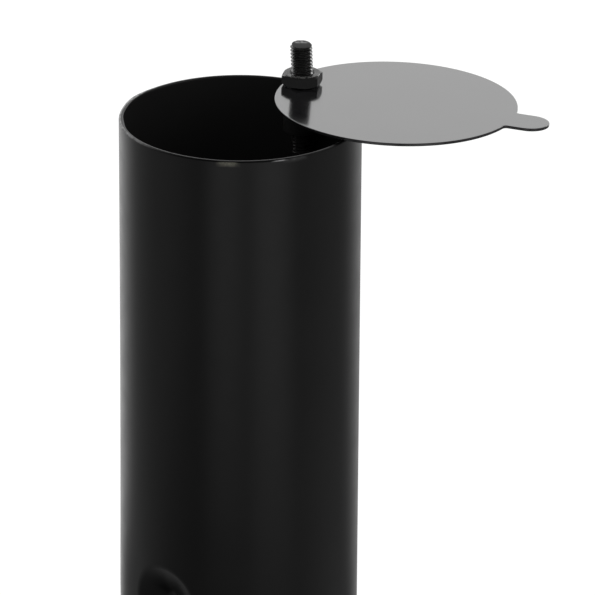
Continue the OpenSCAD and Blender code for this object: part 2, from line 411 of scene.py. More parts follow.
def bulge(theta, z, out, turn_deg, height, spread_deg, rise):
    """Rise of a soft bulge about one direction and height."""
    turn = np.degrees(np.angle(np.exp(1j * (theta - math.radians(turn_deg)))))
    return out * (np.exp(-((turn / spread_deg) ** 2)) * np.exp(-(((z - height) / rise) ** 2)))


def swell(theta, z):
    """How far the wall stands out beside the first dimple, in its slight oval and at the rim's flare."""
    return bulge(theta, z, *SWELLING) + bulge(theta, z, *OVAL) + bulge(theta, z, *RIM_FLARE)


def on_cylinder(theta, z, depth=0.0):
    """Points on the tube's outside, or a depth under it."""
    burr = bulge(theta, z, *BURR)
    radius = TUBE_R - depth * (1 + burr / TUBE_WALL) + swell(theta, z)
    return np.stack([radius * np.cos(theta), radius * np.sin(theta), z + 0 * theta], -1)


def dimple_profile():
    """Radii from a dimple's middle outward, and how far the wall has come back out at each."""
    steep = math.radians(DIMPLE_SLOPE_DEG)
    reach = DIMPLE_NOSE + DIMPLE_LIP
    slant = (DIMPLE_DEPTH - reach * (1 - math.cos(steep))) / math.sin(steep)
    foot_r = DIMPLE_EDGE_R - reach * math.sin(steep) - slant * math.cos(steep)
    turn = np.linspace(0, steep, DIMPLE_ROUND_RINGS)
    nose_x = foot_r + DIMPLE_NOSE * np.sin(turn)
    nose_y = DIMPLE_NOSE * (1 - np.cos(turn))
    lip_x = DIMPLE_EDGE_R - DIMPLE_LIP * np.sin(turn[::-1])
    lip_y = DIMPLE_DEPTH - DIMPLE_LIP * (1 - np.cos(turn[::-1]))
    cone = np.linspace(0, 1, DIMPLE_CONE_RINGS + 2)[1:-1]
    cone_x = nose_x[-1] + cone * (lip_x[0] - nose_x[-1])
    cone_y = nose_y[-1] + cone * (lip_y[0] - nose_y[-1])
    radii = np.concatenate([nose_x, cone_x, lip_x])
    return radii, np.concatenate([nose_y, cone_y, lip_y]) / DIMPLE_DEPTH


def wall_radius(u, w, theta):
    """Radius of the swollen wall at u beside and w above a dimple's middle, found by repeated trial."""
    radius = TUBE_R
    for _ in range(WALL_TRIALS):
        radius = TUBE_R + swell(theta + np.arcsin(u / radius), DIMPLE_Z + w)
    return radius


def dimple_height(u, w, theta):
    """Distance of the dimpled wall from the axis of the tube, along the dimple's direction."""
    radii, share = dimple_profile()
    out = np.interp(np.hypot(u, w / DIMPLE_TALL), radii, share)
    radius = wall_radius(u, w, theta)
    wall = np.sqrt(radius ** 2 - u ** 2)
    floor = TUBE_R - DIMPLE_DEPTH
    return floor + (wall - floor) * out


def dimple_points(u, w, theta, depth):
    """Points of the dimpled wall over a patch, or a depth under it along its normals."""
    step = SLOPE_STEP
    height = dimple_height(u, w, theta)
    slope_u = (dimple_height(u + step, w, theta) - dimple_height(u - step, w, theta)) / (2 * step)
    slope_w = (dimple_height(u, w + step, theta) - dimple_height(u, w - step, theta)) / (2 * step)
    long = np.sqrt(1 + slope_u ** 2 + slope_w ** 2)
    x = height - depth / long
    y = u + depth * slope_u / long
    z = DIMPLE_Z + w + depth * slope_w / long
    c, s = math.cos(theta), math.sin(theta)
    return np.stack([x * c - y * s, x * s + y * c, z], -1)


def window_ring(columns, half_angle, half_z):
    """A square ring on the unrolled wall, as angles and heights, with its points evenly spread."""
    side = np.linspace(-1, 1, columns + 1)[:-1]
    one = np.ones(columns)
    across = np.concatenate([one, -side, -one, side])
    up = np.concatenate([side, one, -side, -one])
    return across * half_angle, up * half_z


def ring_stack(columns, half_angle, half_z, radii, tall=1.0):
    """Rings from the middle of a window to its square border; tall stretches their heights."""
    angle, height = window_ring(columns, half_angle, half_z)
    border_u = TUBE_R * np.sin(angle)
    turn = np.arctan2(height / half_z, angle / half_angle)
    circle_u, circle_w = np.cos(turn), np.sin(turn) * tall
    rings = [(r * circle_u, r * circle_w) for r in radii]
    last_u, last_w = rings[-1]
    for k in range(1, WINDOW_RINGS + 1):
        share = k / WINDOW_RINGS
        rings.append((last_u * (1 - share) + border_u * share, last_w * (1 - share) + height * share))
    return np.array([r[0] for r in rings]), np.array([r[1] for r in rings])


def dimple_patch(shell, theta):
    """Both sides of the wall in the window of one dimple."""
    radii, _ = dimple_profile()
    middle = np.linspace(DIMPLE_FIRST_R, radii[0], DIMPLE_FLOOR_RINGS + 1)[:-1]
    all_radii = np.concatenate([middle, radii, [radii[-1] + DIMPLE_MARGIN]])
    half_angle = DIMPLE_COLUMNS * FULL_TURN / TUBE_COLUMNS / 2
    u, w = ring_stack(DIMPLE_COLUMNS, half_angle, DIMPLE_HALF_Z, all_radii, DIMPLE_TALL)
    angle = np.arcsin(u / TUBE_R)
    u = (TUBE_R + swell(theta + angle, DIMPLE_Z + w)) * np.sin(angle)
    for depth in (0.0, TUBE_WALL):
        points = dimple_points(u, w, theta, depth)
        points[-1] = on_cylinder(theta + angle[-1], DIMPLE_Z + w[-1], depth)
        shell.add_grid(points)
        shell.add_cap(points[0])


def screw_hole_patch(shell, theta):
    """Both sides of the wall round one screw hole, and the hole's own wall."""
    half_angle = SCREW_HOLE_COLUMNS * FULL_TURN / TUBE_COLUMNS / 2
    radii = np.array([SCREW_HOLE_R, SCREW_HOLE_R + SCREW_HOLE_MARGIN])
    u, w = ring_stack(SCREW_HOLE_COLUMNS, half_angle, SCREW_HOLE_HALF_Z, radii)
    turn = theta + np.arcsin(u / TUBE_R)
    outer = on_cylinder(turn, SCREW_Z + w)
    inner = on_cylinder(turn, SCREW_Z + w, TUBE_WALL)
    shell.add_grid(outer)
    shell.add_grid(inner)
    shell.add_grid(np.stack([outer[0], inner[0]]))


def wall_windows():
    """The windows left in the tube's grid: direction, height, columns and half height of each."""
    dimples = [(math.radians(d), DIMPLE_Z, DIMPLE_COLUMNS, DIMPLE_HALF_Z) for d in DIMPLE_DIRS_DEG]
    holes = [(math.radians(d), SCREW_Z, SCREW_HOLE_COLUMNS, SCREW_HOLE_HALF_Z) for d in SCREW_DIRS_DEG]
    return dimples + holes


def wall_heights():
    """Heights of the grid's rows, even in each window and between them."""
    z = []
    marks = [TUBE_Z + RIM_ROUND]
    for centre, half, columns in ((SCREW_Z, SCREW_HOLE_HALF_Z, SCREW_HOLE_COLUMNS),
                                  (DIMPLE_Z, DIMPLE_HALF_Z, DIMPLE_COLUMNS)):
        z += spread(marks[-1], centre - half, TUBE_STEP)[:-1]
        z += list(np.linspace(centre - half, centre + half, columns + 1))[:-1]
        marks.append(centre + half)
    z += spread(marks[-1], RIM_Z - RIM_ROUND, TUBE_STEP)
    return np.array(z)


def spread(low, high, step):
    """Even values from low to high, no further apart than step."""
    return list(np.linspace(low, high, max(2, math.ceil((high - low) / step) + 1)))


def tube_columns():
    """Directions of the grid's columns, one of which meets the first dimple's middle."""
    return math.radians(DIMPLE_DIRS_DEG[0]) + np.arange(TUBE_COLUMNS) * FULL_TURN / TUBE_COLUMNS


def in_window(z, theta):
    """A test that says which cells of the wall's grid a window takes."""
    windows = wall_windows()
    half_step = FULL_TURN / TUBE_COLUMNS / 2

    def test(i, j):
        middle_z = (z[i] + z[i + 1]) / 2
        for turn, centre, columns, half in windows:
            away = abs(np.angle(np.exp(1j * (theta[j] + half_step - turn))))
            if away < columns * half_step and abs(middle_z - centre) < half:
                return True
        return False

    return test


def rim_rows(theta, z, upward):
    """Rows that round the cut edge over from the outside to the inside."""
    rows = []
    for k in range(1, 2 * ROUND_STEPS + 2):
        outside = k <= ROUND_STEPS
        turn = (k if outside else k - ROUND_STEPS - 1) / ROUND_STEPS * math.pi / 2
        depth = RIM_ROUND * (1 - math.cos(turn)) if outside else TUBE_WALL - RIM_ROUND * (1 - math.sin(turn))
        rise = RIM_ROUND * (math.sin(turn) if outside else math.cos(turn))
        rows.append(on_cylinder(theta, z + 0 * theta + upward * rise, depth))
    return np.array(rows)


def flue_tube(material):
    """The tube with its dimples, screw holes and rounded rims."""
    shell = Shell()
    theta = tube_columns()
    z = wall_heights()
    test = in_window(z, theta)
    for depth in (0.0, TUBE_WALL):
        points = np.array([on_cylinder(theta, np.full(TUBE_COLUMNS, h), depth) for h in z])
        shell.add_grid(points, skip=test)
    for level, upward in ((z[-1], 1), (z[0], -1)):
        first = on_cylinder(theta, np.full(TUBE_COLUMNS, level))
        shell.add_grid(np.concatenate([first[None], rim_rows(theta, level, upward)]))
    for direction in DIMPLE_DIRS_DEG:
        dimple_patch(shell, math.radians(direction))
    for direction in SCREW_DIRS_DEG:
        screw_hole_patch(shell, math.radians(direction))
    return make_piece("flue_tube_skin", shell, material, "chimney", "flue_paint", "flue_tube")


def inset_loop(loop, inset):
    """A closed outline moved to its left, into the metal where it runs counterclockwise."""
    before = np.roll(loop, 1, 0)
    after = np.roll(loop, -1, 0)
    along_a = loop - before
    along_b = after - loop
    along_a /= np.linalg.norm(along_a, axis=1, keepdims=True)
    along_b /= np.linalg.norm(along_b, axis=1, keepdims=True)
    left_a = np.stack([-along_a[:, 1], along_a[:, 0]], -1)
    left_b = np.stack([-along_b[:, 1], along_b[:, 0]], -1)
    middle = left_a + left_b
    middle /= np.linalg.norm(middle, axis=1, keepdims=True)
    spread_by = 1 / np.clip((middle * left_a).sum(1), SHARPEST, 1)
    return loop + inset * middle * spread_by[:, None]


def plate(outline, holes, low, high, edge, guard):
    """A flat plate with rounded edges and a flat ring, guard wide, inside them; holes run clockwise."""
    shell = Shell()
    loops = [np.asarray(outline)] + [np.asarray(h) for h in holes]
    for loop in loops:
        shell.add_grid(edge_rows(loop, low, high, edge, guard))
    for z in (low, high):
        shell.add_fill([inset_loop(loop, edge + guard) for loop in loops], z)
    return shell


def edge_rows(loop, low, high, edge, guard):
    """Rows over a plate's edge, from one flat face to the other."""
    rows = [(edge + guard, high)]
    for k in range(ROUND_STEPS + 1):
        turn = k / ROUND_STEPS * math.pi / 2
        rows.append((edge * (1 - math.sin(turn)), high - edge * (1 - math.cos(turn))))
    rows += [(inset, low + high - z) for inset, z in reversed(rows)]
    return np.array([level(inset_loop(loop, inset), z) for inset, z in rows])


def level(loop, z):
    """Plane points at one height."""
    return np.column_stack([loop, np.full(len(loop), z)])


def circle_hole(x, y, radius, steps=HOLE_STEPS):
    """A hole's outline, clockwise."""
    return arc((x, y), radius, 0, -360, steps)[:-1]


def square_outline(half, corner):
    """A square with round corners, counterclockwise."""
    inner = half - corner
    corners = ((inner, inner, 0), (-inner, inner, 90), (-inner, -inner, 180), (inner, -inner, 270))
    return np.concatenate([arc((x, y), corner, a, a + 90, CORNER_STEPS) for x, y, a in corners])


def bolt_holes():
    """The four bolt holes' outlines."""
    places = (-BOLT_HALF_PITCH, BOLT_HALF_PITCH)
    return [circle_hole(x, y, BOLT_HOLE_R) for x in places for y in places]


def base_plate(name, low, high, edge, material, slot, node):
    """A square plate of the base, with the smoke hole and the bolt holes."""
    outline = square_outline(high.x, high.x - BOLT_HALF_PITCH)
    holes = [circle_hole(0, 0, SMOKE_HOLE_R, LARGE_HOLE_STEPS)] + bolt_holes()
    shell = plate(outline, holes, low.z, high.z, edge, BASE_GUARD)
    return make_piece(name, shell, material, "chimney", slot, node)


def lid_outline():
    """Outline of the lid about its own centre, with the tab along +X, counterclockwise."""
    side_y = TAB_W / 2 + TAB_ROOT
    side_x = math.sqrt((LID_R + TAB_ROOT) ** 2 - side_y ** 2)
    root_deg = math.degrees(math.atan2(side_y, side_x))
    end_x = LID_R + TAB_OUT - TAB_W / 2
    disc = arc((0, 0), LID_R, root_deg, 360 - root_deg, LID_STEPS)
    lower = arc((side_x, -side_y), TAB_ROOT, 180 - root_deg, 90, ROOT_STEPS)[1:]
    tip = arc((end_x, 0), TAB_W / 2, -90, 90, TIP_STEPS)
    upper = arc((side_x, side_y), TAB_ROOT, 270, 180 + root_deg, ROOT_STEPS)[:-1]
    return np.concatenate([disc, lower, tip, upper])


def lid_place():
    """Where the open lid lies: on its pivot, turned about it and square to the joint's axis."""
    down_dir = math.atan2(LID_AXIS.y, LID_AXIS.x)
    droop = math.acos(LID_AXIS.z)
    aside = Matrix.Rotation(down_dir, 4, "Z")
    back = Matrix.Rotation(-down_dir, 4, "Z")
    tilt = aside @ Matrix.Rotation(droop, 4, "Y") @ back
    turn = Matrix.Rotation(math.radians(LID_DIR_DEG), 4, "Z")
    return Matrix.Translation(LID_FOOT) @ tilt @ turn


def damper_lid(material):
    """The lid with its thumb tab and the stud's hole, made about the pivot."""
    outline = turned(lid_outline(), math.radians(TAB_TURN_DEG)) + np.array([LID_ARM, 0])
    hole = circle_hole(0, 0, LID_HOLE_R, LID_HOLE_STEPS)
    shell = plate(outline, [hole], 0, LID_T, LID_EDGE, LID_GUARD)
    return make_piece("damper_lid_sheet", shell, material, "lid", "lid_paint", "damper_lid",
                      place=lid_place())


def thread_shape(phase):
    """Depth of a 60 degree thread as a share of its pitch, where the crest is at phase 0."""
    straight, rounded = 0.8, 0.2
    away = np.abs((phase + 0.5) % 1 - 0.5)
    share = np.clip((away - CREST_SHARE) / FLANK_SHARE, 0, 1)
    return DEPTH_SHARE * (share * straight + rounded * share * share * (3 - 2 * share))


def threaded(radius, pitch, z, theta):
    """Radius of a right-handed thread at each height and direction."""
    return radius - pitch * thread_shape(z / pitch - theta / FULL_TURN)


def stud_dome(rim, length):
    """Rings from the chamfer's upper edge inward over the domed end."""
    shares = np.array(STUD_DOME_SHARES)[:, None, None]
    dome = rim[None] * shares
    dome[..., 2] = length + STUD_DOME * (1 - shares[..., 0] ** 2)
    return dome


def pivot_stud(material):
    """The stud with its real thread, chamfered ends, a worn upper end and a slight bend above the nut."""
    length = STUD_HIGH.z - STUD_LOW.z - STUD_DOME - STUD_SLANT_ROOM
    z = np.linspace(0, length, round(length / STUD_PITCH * STUD_ROWS_A_PITCH) + 1)[:, None]
    theta = (np.arange(STUD_COLUMNS) / STUD_COLUMNS * FULL_TURN)[None]
    radius = threaded(STUD_R, STUD_PITCH, z, theta)
    end = STUD_R - STUD_CHAMFER + np.minimum(z, length - z)
    radius = np.minimum(radius, end)
    points = np.stack([radius * np.cos(theta), radius * np.sin(theta), z + 0 * theta], -1)
    points = np.concatenate([points, stud_dome(points[-1], length)])
    near_end = np.clip((points[..., 2] - length) / STUD_SLANT_FROM + 1, 0, 1)
    points[..., 2] += STUD_SLANT * points[..., 1] * near_end
    above = np.maximum(0, points[..., 2] + STUD_LOW.z - NUT_HIGH.z)
    points[..., 0] -= math.tan(math.radians(STUD_LEAN_DEG)) * above
    shell = Shell()
    shell.add_grid(points)
    shell.add_cap(points[0])
    shell.add_cap(points[-1])
    place = Matrix.Translation((STUD.x, STUD.y, STUD_LOW.z))
    return make_piece("pivot_stud_thread", shell, material, "chimney", "black_thread", "pivot_stud",
                      place=place, sharp_deg=50)


def hexagon_radius(theta, flat_r):
    """Distance of a hexagon's side from its middle; a corner lies at theta 0."""
    sixth = math.pi / 3
    return flat_r / np.cos((theta % sixth) - sixth / 2)


def hexagon_rows(theta, flat_r, low, high, face_share, slope_deg):
    """Rows up the outside of a hexagon whose corners are chamfered at both ends."""
    side = hexagon_radius(theta, flat_r)
    face_r = flat_r * face_share
    drop = (side - face_r) * math.tan(math.radians(slope_deg))
    return [(face_r + 0 * theta, low + 0 * theta), (side, low + drop), (side, high - drop),
            (face_r + 0 * theta, high + 0 * theta)]


def around(rows, theta):
    """Points of rows of radii and heights in the directions theta."""
    return np.array([np.stack([r * np.cos(theta), r * np.sin(theta), z], -1) for r, z in rows])


def lid_nut(material):
    """The thin nut: chamfered hexagon, countersunk and threaded to fit the stud."""
    height = NUT_HIGH.z - NUT_LOW.z
    theta = np.arange(NUT_COLUMNS) / NUT_COLUMNS * FULL_TURN
    turned_theta = theta + math.radians(NUT_TURN_DEG)
    rows = hexagon_rows(theta, NUT_AF / 2, 0.0, height, NUT_FACE_SHARE, NUT_CHAMFER_DEG)
    rows += nut_bore_rows(turned_theta, height)
    shell = Shell()
    shell.add_grid(around(rows, turned_theta), close_rows=True)
    place = Matrix.Translation((STUD.x, STUD.y, NUT_LOW.z))
    piece = make_piece("lid_nut_hexagon", shell, material, "chimney", "black_thread", "lid_nut",
                       place=place, sharp_deg=25)
    ease_edges(piece, NUT_EDGE, 24)
    return piece


def nut_bore_rows(theta, height):
    """Rows down the nut's bore, countersunk at both ends, with the stud's thread between."""
    start = NUT_LOW.z - STUD_LOW.z
    rows = []
    for z in np.linspace(height, 0, NUT_BORE_ROWS):
        cone = NUT_SINK_R - min(z, height - z)
        thread = threaded(STUD_R, STUD_PITCH, start + z, theta) + THREAD_GAP
        rows.append((np.maximum(thread, cone), z + 0 * theta))
    return rows


def ease_edges(piece, width, limit_deg):
    """Rounds a piece's edges that are sharper than limit_deg by a small width."""
    bevel = piece.modifiers.new("eased edges", "BEVEL")
    bevel.width = width
    bevel.segments = 2
    bevel.limit_method = "ANGLE"
    bevel.angle_limit = math.radians(limit_deg)
    bevel.harden_normals = False
    piece.modifiers.move(len(piece.modifiers) - 1, 0)


def lug_plan():
    """Plan of the lug about the tube's axis, with the stud along +X: round inside, on the bore outside."""
    wall_r = BORE_R - SEAT_GAP
    wall_deg = math.degrees(math.asin(LUG_R / wall_r))
    nose = arc((STUD_REACH, 0), LUG_R, 90, 270, LUG_NOSE_STEPS)
    back = arc((0, 0), wall_r, -wall_deg, wall_deg, LUG_BACK_STEPS)
    return np.concatenate([nose, back])


def pivot_lug(material):
    """The tapped lug inside the rim."""
    outline = turned(lug_plan(), STUD_DIR)
    hole = circle_hole(STUD.x, STUD.y, STUD_R + SEAT_GAP)
    shell = plate(outline, [hole], LUG_LOW.z, LUG_HIGH.z, LUG_EDGE, LUG_GUARD)
    return make_piece("pivot_lug_block", shell, material, "chimney", "flue_paint", "pivot_lug")


def bead(corners, leg_a, leg_b, ripple_at, closed):
    """A weld bead along corner points; ripple_at gives each point's place along the bead."""
    shell = Shell()
    rows = []
    for k in range(BEAD_STEPS + 1):
        turn = k / BEAD_STEPS * math.pi / 2
        lag = RIPPLE_LAG * math.sin(2 * turn)
        wave = np.abs(np.sin(math.pi * (ripple_at / RIPPLE_PITCH + lag)))
        grow = (1 - RIPPLE_SHARE + RIPPLE_SHARE * wave * math.sin(2 * turn))[:, None]
        rows.append(corners + grow * (leg_a * math.cos(turn) + leg_b * math.sin(turn)))
    rows.append(corners)
    points = np.array(rows).transpose(1, 0, 2)
    if closed:
        points = np.concatenate([points, points[:1]])
    shell.add_grid(points)
    if not closed:
        shell.add_cap(points[0])
        shell.add_cap(points[-1])
    return shell


def lug_weld(material):
    """The rippled beads down both sides of the lug."""
    low = LUG_LOW.z + BEAD_END
    high = LUG_HIGH.z - BEAD_END
    z = np.linspace(low, high, BEAD_ROWS)
    taper = np.clip(np.minimum(z - low, high - z) / BEAD_TAPER, BEAD_TIP_SHARE, 1) ** 0.5
    wall_r = BORE_R - SEAT_GAP
    inward = turned(np.array([-BEAD_LEG, 0]), STUD_DIR)
    both = Shell()
    for side in (-1, 1):
        near_y = side * (LUG_R + SEAT_GAP)
        far_y = side * (LUG_R + SEAT_GAP + BEAD_LEG)
        near_x = math.sqrt(wall_r ** 2 - near_y ** 2)
        far_x = math.sqrt(wall_r ** 2 - far_y ** 2)
        corner = turned(np.array([near_x, near_y]), STUD_DIR)
        along = turned(np.array([far_x - near_x, far_y - near_y]), STUD_DIR)
        corners = np.column_stack([np.tile(corner, (len(z), 1)), z])
        leg_a = np.append(inward, 0)[None] * taper[:, None]
        leg_b = np.append(along, 0)[None] * taper[:, None]
        one = bead(corners, leg_a, leg_b, z, False)
        both.add_faces(np.concatenate(one.points), one.faces)
    return make_piece("lug_weld_beads", both, material, "chimney", "flue_paint", "lug_weld",
                      sharp_deg=60)


def collar_weld(material):
    """The rippled bead between the collar's inside and the flange's ledge."""
    outer_r = COLLAR_BORE_R - SEAT_GAP
    leg = outer_r - SMOKE_HOLE_R - SEAT_GAP
    theta = np.arange(RING_BEAD_COLUMNS) / RING_BEAD_COLUMNS * FULL_TURN
    radial = np.stack([np.cos(theta), np.sin(theta), 0 * theta], -1)
    corners = radial * outer_r + np.array([0, 0, TUBE_Z])
    up = np.tile([0, 0, leg], (len(theta), 1))
    shell = bead(corners, -radial * leg, up, theta * outer_r, True)
    return make_piece("collar_weld_bead", shell, material, "chimney", "flue_paint", "collar_weld",
                      sharp_deg=60)


def screw_shell():
    """One sheet screw along +Z: point below, threaded shank, flanged hexagon head."""
    theta = np.arange(SCREW_COLUMNS) / SCREW_COLUMNS * FULL_TURN
    rows = [(SCREW_TIP_R + 0 * theta, -SCREW_LEN + 0 * theta)]
    for z in np.linspace(-SCREW_LEN + 2 * SCREW_TIP_R, 0, SCREW_ROWS):
        taper = np.clip((z + SCREW_LEN) / SCREW_POINT, 0, 1)
        away = np.abs((z / SCREW_PITCH - theta / FULL_TURN + 0.5) % 1 - 0.5)
        ridge = 1 - np.clip(away / SCREW_RIDGE_SHARE, 0, 1)
        rows.append(((SCREW_CORE_R + (SCREW_R - SCREW_CORE_R) * ridge) * taper, z + 0 * theta))
    rows += [(r + 0 * theta, z + 0 * theta) for r, z in screw_flange()]
    rows += screw_head_rows(theta)
    points = around(rows, theta)
    shell = Shell()
    shell.add_grid(points)
    shell.add_cap(points[0])
    shell.add_cap(points[-1])
    return shell


def screw_flange():
    """Radii and heights over the screw's round flange, from below."""
    inner_r = SCREW_FLANGE_R - SCREW_FLANGE_ROUND
    return [(inner_r, 0), (SCREW_FLANGE_R, SCREW_FLANGE_ROUND),
            (SCREW_FLANGE_R, SCREW_FLANGE_T - 2 * SCREW_FLANGE_ROUND),
            (inner_r, SCREW_FLANGE_T - SCREW_FLANGE_ROUND), (SCREW_FLANGE_TOP_R, SCREW_FLANGE_T)]


def screw_head_rows(theta):
    """Rows up the screw's hexagon and into the shallow dish on top."""
    side = hexagon_radius(theta, SCREW_AF / 2)
    top = SCREW_FLANGE_T + SCREW_HEX_H
    drop = (side - SCREW_FACE_R) * math.tan(math.radians(SCREW_CHAMFER_DEG))
    even = 0 * theta
    return [(side, SCREW_FLANGE_T + even), (side, top - drop), (SCREW_FACE_R + even, top + even),
            (SCREW_DISH_R + even, top + even),
            (SCREW_DISH_R * SCREW_DISH_FLOOR_SHARE + even, top - SCREW_DISH + even)]


def collar_screws(material):
    """Both sheet screws, each on its own side of the tube."""
    both = Shell()
    for direction in SCREW_DIRS_DEG:
        one = screw_shell()
        out = Matrix.Rotation(math.radians(direction), 4, "Z") @ Matrix.Rotation(math.pi / 2, 4, "Y")
        place = Matrix.Translation((0, 0, SCREW_Z)) @ out @ Matrix.Translation((0, 0, TUBE_R + SEAT_GAP))
        flat = np.concatenate(one.points)
        moved = np.column_stack([flat, np.ones(len(flat))]) @ np.array(place).T
        both.add_faces(moved[:, :3], one.faces)
    piece = make_piece("collar_screw_pair", both, material, "chimney", "screw_steel", "collar_screws",
                       sharp_deg=28)
    ease_edges(piece, SCREW_HEX_EDGE, 28)
    return piece


class Nodes:
    """Short calls for building a material's nodes."""

    def __init__(self, tree, shader):
        self.tree = tree
        self.shader = tree.nodes[shader]

    def add(self, kind, **settings):
        node = self.tree.nodes.new(kind)
        for key, value in settings.items():
            setattr(node, key, value)
        return node

    def link(self, source, target):
        self.tree.links.new(source, target)

    def give(self, name, value):
        """Sets an input of the shader to a plain value or another node's."""
        socket = self.shader.inputs[name]
        if isinstance(value, bpy.types.NodeSocket):
            self.link(value, socket)
        else:
            socket.default_value = value

    def noise(self, vector, scale, detail=3.0, roughness=0.55):
        node = self.add("ShaderNodeTexNoise")
        node.inputs["Scale"].default_value = scale
        node.inputs["Detail"].default_value = detail
        node.inputs["Roughness"].default_value = roughness
        self.link(vector, node.inputs["Vector"])
        return node.outputs["Fac"]

    def remap(self, value, low, high, to_low, to_high):
        node = self.add("ShaderNodeMapRange", clamp=True)
        self.link(value, node.inputs["Value"])
        for name, number in (("From Min", low), ("From Max", high), ("To Min", to_low), ("To Max", to_high)):
            node.inputs[name].default_value = number
        return node.outputs["Result"]

    def mix(self, factor, *colours):
        """Between two colours, each a plain one or another node's."""
        node = self.add("ShaderNodeMix", data_type="RGBA")
        self.link(factor, node.inputs["Factor"])
        for name, colour in zip("AB", colours):
            if isinstance(colour, tuple):
                node.inputs[name].default_value = (*colour, 1)
            else:
                self.link(colour, node.inputs[name])
        return node.outputs["Result"]

    def maths(self, operation, first, second=0.0):
        """A sum, product or the like of two values, the second of which may be a plain number."""
        node = self.add("ShaderNodeMath", operation=operation)
        self.link(first, node.inputs[0])
        if isinstance(second, (int, float)):
            node.inputs[1].default_value = second
        else:
            self.link(second, node.inputs[1])
        return node.outputs[0]

    def along(self, vector, direction):
        """How far a vector goes along a plain direction."""
        node = self.add("ShaderNodeVectorMath", operation="DOT_PRODUCT")
        self.link(vector, node.inputs[0])
        node.inputs[1].default_value = direction
        return node.outputs["Value"]

    def vector(self, operation, *vectors):
        """A node for vectors, with one or two of them linked to it."""
        node = self.add("ShaderNodeVectorMath", operation=operation)
        for i, vector in enumerate(vectors):
            self.link(vector, node.inputs[i])
        return node.outputs

    def parts(self, vector):
        """The X, Y and Z of a vector."""
        node = self.add("ShaderNodeSeparateXYZ")
        self.link(vector, node.inputs[0])
        return node.outputs

    def plan(self, vector):
        """A vector without its height."""
        parts = self.parts(vector)
        node = self.add("ShaderNodeCombineXYZ")
        self.link(parts["X"], node.inputs["X"])
        self.link(parts["Y"], node.inputs["Y"])
        return node.outputs[0]

    def facing(self):
        """The surface's direction in the piece's own frame."""
        return self.add("ShaderNodeTexCoord").outputs["Normal"]

    def level_share(self, low, high):
        """0 on upright faces and 1 on level ones, as the Z of their direction goes from low to high."""
        return self.remap(self.maths("ABSOLUTE", self.parts(self.facing())["Z"]), low, high, 0.0, 1.0)

    def bump(self, height, distance, normal=None):
        node = self.add("ShaderNodeBump")
        node.inputs["Strength"].default_value = 1.0
        node.inputs["Distance"].default_value = distance
        self.link(height, node.inputs["Height"])
        if normal is not None:
            self.link(normal, node.inputs["Normal"])
        return node.outputs["Normal"]


def new_material(name):
    """A material, the calls for its nodes and the piece's own coordinates."""
    material = bpy.data.materials.new(name)
    material.use_nodes = True
    n = Nodes(material.node_tree, "Principled BSDF")
    return material, n, n.add("ShaderNodeTexCoord").outputs["Object"]


def painted_bore_light_share(n, place):
    """1 on walls that face the tube's axis, where a lighter grey is painted in as light inside the bore, and
    0 outside.
    """
    outward = n.vector("DOT_PRODUCT", n.facing(), n.plan(place))["Value"]
    return n.remap(outward, -INSIDE_TURN * BORE_R, 0.0, 1.0, 0.0)


def rim_marks_and_highlight(n, place, colour):
    """The paint's colour with the lighter marks on the rim's edge worked in, the wide one a painted
    highlight.
    """
    reach = n.vector("LENGTH", n.plan(place))["Value"]
    start, full = RIM_MARK_DEPTHS
    outer = n.remap(reach, TUBE_R - start, TUBE_R - full, 0.0, 1.0)
    patch = n.maths("MULTIPLY", outer, n.remap(n.noise(place, 700, 4, 0.65), 0.35, 0.6, 0.3, 1.0))
    height = n.parts(place)["Z"]
    # Each mark lightens the paint; the wide one round the back and left is a painted highlight on the rim's
    # rounding
    for turn_deg, half_deg, drop, mark_colour in RIM_MARKS_AND_HIGHLIGHT:
        turn = math.radians(turn_deg)
        face = n.along(place, (math.cos(turn), math.sin(turn), 0))
        side = n.remap(face, TUBE_R * math.cos(math.radians(half_deg)), TUBE_R, 0.0, 1.0)
        edge = n.remap(height, RIM_Z - drop, RIM_Z - RIM_MARK_FULL * drop, 0.0, 1.0)
        share = n.maths("MULTIPLY", n.maths("MULTIPLY", side, edge), patch)
        colour = n.mix(share, colour, mark_colour)
    return colour


def flue_paint():
    """Semi-matt heat-resistant paint, a little uneven from the spray gun."""
    material, n, place = new_material("flue_paint")
    cloud = n.noise(place, 45, 4)
    outside = n.mix(n.remap(cloud, 0.35, 0.65, 0, 1), (0.0012, 0.0012, 0.0013), (0.0022, 0.0022, 0.0022))
    # Walls that face the axis get a lighter grey, painted light inside the bore
    paint = n.mix(painted_bore_light_share(n, place), outside, (BORE_PAINTED_LIGHT, BORE_PAINTED_LIGHT, BORE_PAINTED_LIGHT))
    # The rim's edge gets lighter spots in front and a painted highlight along its rounding round the back
    # and left
    n.give("Base Color", rim_marks_and_highlight(n, place, paint))
    n.give("Roughness", n.remap(n.noise(place, 130, 3), 0.3, 0.7, 0.28, 0.33))
    n.give("Specular IOR Level", FLUE_GLOSS)
    peel = n.bump(n.noise(place, 1400, 2), 0.004 * MM)
    n.give("Normal", n.bump(n.noise(place, 170, 2), 0.006 * MM, peel))
    return material


def lid_paint():
    """Glossy black enamel under a clear film that is thin on the cut edge, with a faint haze."""
    material, n, place = new_material("lid_paint")
    haze = n.noise(place, 60, 5)
    enamel = n.mix(n.remap(haze, 0.35, 0.7, 0, 1), (0.003, 0.003, 0.0034), (0.012, 0.012, 0.0125))
    n.give("Base Color", enamel)
    n.give("Roughness", n.remap(haze, 0.3, 0.75, 0.12, 0.17))
    film = n.remap(n.level_share(0.4, 0.8), 0.0, 1.0, CUT_EDGE_SHARE, 1.0)
    n.give("Coat Weight", film)
    n.give("Specular IOR Level", n.maths("MULTIPLY", film, 0.5))
    n.give("Coat Roughness", 0.1)
    n.give("Normal", n.bump(n.noise(place, 260, 2), 0.0012 * MM))
    return material


